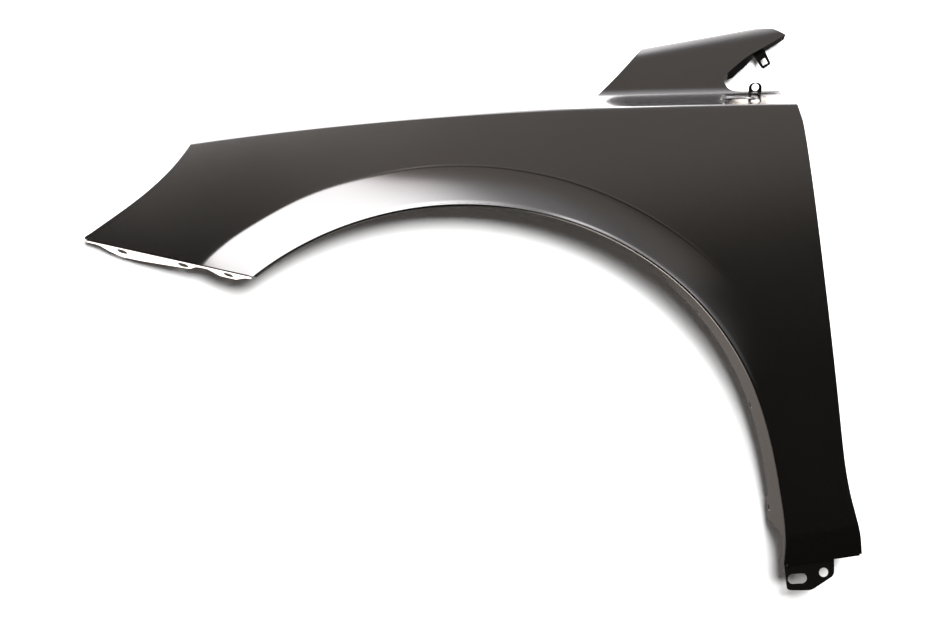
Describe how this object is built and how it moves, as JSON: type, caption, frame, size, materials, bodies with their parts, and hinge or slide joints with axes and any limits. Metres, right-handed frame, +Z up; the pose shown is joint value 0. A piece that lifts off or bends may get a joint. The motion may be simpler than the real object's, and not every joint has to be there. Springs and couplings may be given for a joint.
{
  "type": "car fender",
  "caption": "Front fender of a passenger car, left side: a pressed steel panel with a flared wheel arch, a rear leg, a pillar ear and bolting flanges.",
  "frame": {"origin": "underside of the flat rail flange, midway along it, where the panel rests on the rail of the engine bay", "axes": "+Z up, -X toward the front of the car, -Y outboard"},
  "size_m": [0.9397, 0.1548, 0.6792],
  "materials": {
    "black_primer": "satin black electro-coat primer"
  },
  "bodies": {
    "root": {"fender_panel": "black_primer"}
  },
  "joints": []
}
